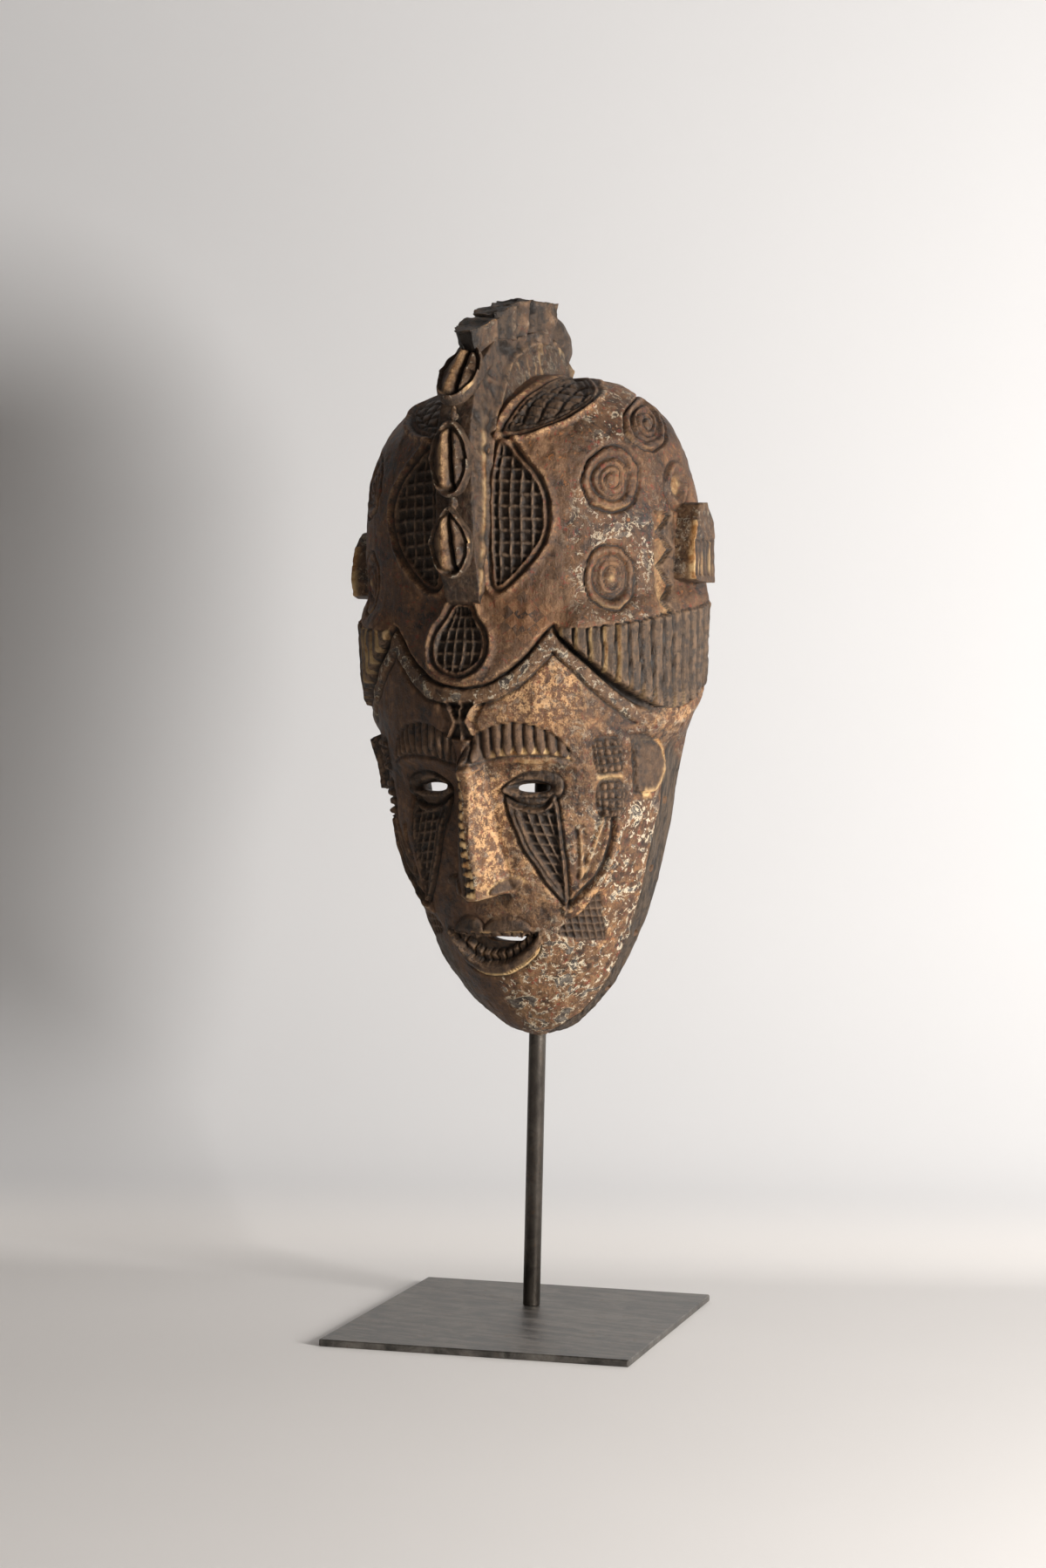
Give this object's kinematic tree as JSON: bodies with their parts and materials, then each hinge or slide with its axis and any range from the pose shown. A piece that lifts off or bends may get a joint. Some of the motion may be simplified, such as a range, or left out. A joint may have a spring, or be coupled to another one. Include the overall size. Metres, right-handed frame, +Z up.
{
  "type": "igbo mask",
  "caption": "Hollow carved wooden spirit mask with a fin crest, ear lumps, pierced eyes and a fluted hair band, on a steel rod and flat base plate.",
  "frame": {"origin": "where the rod's axis meets the underside of the base plate", "axes": "+Z up along the rod, the mask looks along -Y, +X is the viewer's right"},
  "size_m": [0.2371, 0.2631, 0.588],
  "materials": {
    "mask": "worn, dark patina with rubbed high points",
    "rod": "blackened, satin",
    "base_plate": "mottled dark patina, satin"
  },
  "bodies": {
    "root": {"mask": "mask", "rod": "rod", "base_plate": "base_plate"}
  },
  "joints": []
}
